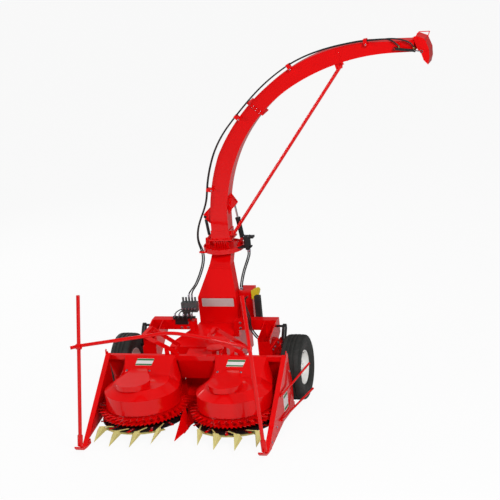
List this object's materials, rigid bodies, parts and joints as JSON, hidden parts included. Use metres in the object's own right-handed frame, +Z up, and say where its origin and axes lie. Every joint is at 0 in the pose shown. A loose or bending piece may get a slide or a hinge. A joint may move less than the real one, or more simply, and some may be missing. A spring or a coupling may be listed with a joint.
{
  "type": "two-row rotary forage harvester",
  "caption": "Mounted forage harvester: twin toothed rotors with crop fingers, push bar, chopper on gauge wheels, tower and curved swivelling discharge spout with flap.",
  "frame": {"origin": "centre of the parking stand's foot plate, on the ground and on the machine's middle plane", "axes": "+X to the right seen from the crop side, -Y the way the rotors face, +Z up"},
  "size_m": [4.0785, 3.085, 4.344],
  "materials": {
    "red_paint": "glossy red enamel",
    "black_paint": "satin black paint",
    "cream_paint": "cream paint",
    "rim_paint": "off-white paint",
    "tyre_rubber": "ribbed rubber",
    "steel": "machined steel",
    "chrome_rod": "hard chrome",
    "guard_yellow": "moulded plastic",
    "guard_black": "rubber",
    "hose_rubber": "hydraulic hose",
    "valve_grey": "grey casting"
  },
  "bodies": {
    "machine": {"brace_left": "red_paint", "brace_right": "red_paint", "centre_divider": "red_paint", "chopper_housing": "red_paint", "coupling_bar": "black_paint", "cutter_drum": "steel", "divider_left": "red_paint", "divider_right": "red_paint", "drive_box": "red_paint", "drive_cover": "red_paint", "feed_duct": "red_paint", "finger_ring_left": "cream_paint", "finger_ring_right": "cream_paint", "frame_left": "red_paint", "frame_right": "red_paint", "guard_cone": "guard_yellow", "guide_tubes": "red_paint", "header_frame": "red_paint", "headstock": "red_paint", "hood_cap_left": "red_paint", "hood_cap_right": "red_paint", "hoses_drop": "hose_rubber", "hoses_frame": "hose_rubber", "input_shaft": "steel", "parking_stand": "red_paint", "push_bar": "red_paint", "rotor_base_left": "red_paint", "rotor_base_right": "red_paint", "rotor_hood_left": "red_paint", "rotor_hood_right": "red_paint", "rubber_guard": "guard_black", "slew_ring": "red_paint", "tower": "red_paint", "turn_motor": "black_paint", "valve_block": "valve_grey", "wheel_arm_left": "red_paint", "wheel_arm_right": "red_paint", "wheel_cylinder_left": "black_paint", "wheel_cylinder_right": "black_paint"},
    "wheel_left": {"tyre_left": "tyre_rubber", "rim_left": "rim_paint"},
    "wheel_right": {"tyre_right": "tyre_rubber", "rim_right": "rim_paint"},
    "rotor_left": {"feed_rotor_left": "red_paint"},
    "rotor_right": {"feed_rotor_right": "red_paint"},
    "cutter_left": {"knife_disc_left": "black_paint", "knives_left": "red_paint"},
    "cutter_right": {"knife_disc_right": "black_paint", "knives_right": "red_paint"},
    "turret": {"turret": "red_paint"},
    "spout": {"spout_lower": "red_paint", "spout_foot": "red_paint", "spout_upper": "red_paint", "spout_stay": "red_paint", "hoses_spout": "hose_rubber"},
    "lift_barrel": {"lift_barrel": "black_paint"},
    "lift_rod": {"lift_rod": "chrome_rod"},
    "flap": {"spout_flap": "red_paint"},
    "flap_barrel": {"flap_barrel": "black_paint"},
    "flap_rod": {"flap_rod": "chrome_rod"}
  },
  "joints": [
    {"name": "wheel_left_spin", "type": "hinge", "parent": "machine", "child": "wheel_left", "pos_m": [-1.105, -1.067, 0.404], "axis": [1, 0, 0], "continuous": true},
    {"name": "wheel_right_spin", "type": "hinge", "parent": "machine", "child": "wheel_right", "pos_m": [1.105, -1.067, 0.404], "axis": [1, 0, 0], "continuous": true},
    {"name": "rotor_left_spin", "type": "hinge", "parent": "machine", "child": "rotor_left", "pos_m": [-0.581, -2.026, 0.285], "axis": [0, 0, 1], "continuous": true},
    {"name": "rotor_right_spin", "type": "hinge", "parent": "machine", "child": "rotor_right", "pos_m": [0.581, -2.026, 0.285], "axis": [0, 0, 1], "continuous": true},
    {"name": "cutter_left_spin", "type": "hinge", "parent": "machine", "child": "cutter_left", "pos_m": [-0.581, -2.026, 0.142], "axis": [0, 0, 1], "continuous": true},
    {"name": "cutter_right_spin", "type": "hinge", "parent": "machine", "child": "cutter_right", "pos_m": [0.581, -2.026, 0.142], "axis": [0, 0, 1], "continuous": true},
    {"name": "spout_turn", "type": "hinge", "parent": "machine", "child": "turret", "pos_m": [0, -0.113, 1.69], "axis": [0, 0, 1], "range_deg": [-100, 100]},
    {"name": "spout_tilt", "type": "hinge", "parent": "turret", "child": "spout", "pos_m": [-0.185, -0.113, 1.775], "axis": [0, -1, 0], "range_deg": [0, 25]},
    {"name": "lift_barrel_swing", "type": "hinge", "parent": "turret", "child": "lift_barrel", "pos_m": [0.25, -0.083, 1.755], "axis": [0, -1, 0], "range_deg": [0, 18.8]},
    {"name": "lift_rod_slide", "type": "slide", "parent": "lift_barrel", "child": "lift_rod", "axis": [-0.1293, 0, 0.9916], "range_m": [0, 0.18]},
    {"name": "flap_tilt", "type": "hinge", "parent": "spout", "child": "flap", "pos_m": [2.7, -0.113, 4.25], "axis": [0, -1, 0], "range_deg": [-10, 40]},
    {"name": "flap_barrel_swing", "type": "hinge", "parent": "spout", "child": "flap_barrel", "pos_m": [2.426, -0.263, 4.154], "axis": [0, -1, 0], "range_deg": [-2.6, 10.1]},
    {"name": "flap_rod_slide", "type": "slide", "parent": "flap_barrel", "child": "flap_rod", "axis": [0.9911, 0, -0.1328], "range_m": [-0.0201, 0.0798]}
  ],
  "couplings": [
    {"joint": "rotor_right_spin", "follows": "rotor_left_spin", "ratio": -1},
    {"joint": "cutter_left_spin", "follows": "rotor_left_spin", "ratio": 4},
    {"joint": "cutter_right_spin", "follows": "rotor_left_spin", "ratio": -4},
    {"joint": "lift_barrel_swing", "follows": "spout_tilt", "ratio": 0.75},
    {"joint": "lift_rod_slide", "follows": "spout_tilt", "m_per_rad": 0.412},
    {"joint": "flap_barrel_swing", "follows": "flap_tilt", "ratio": 0.25},
    {"joint": "flap_rod_slide", "follows": "flap_tilt", "m_per_rad": 0.114}
  ]
}
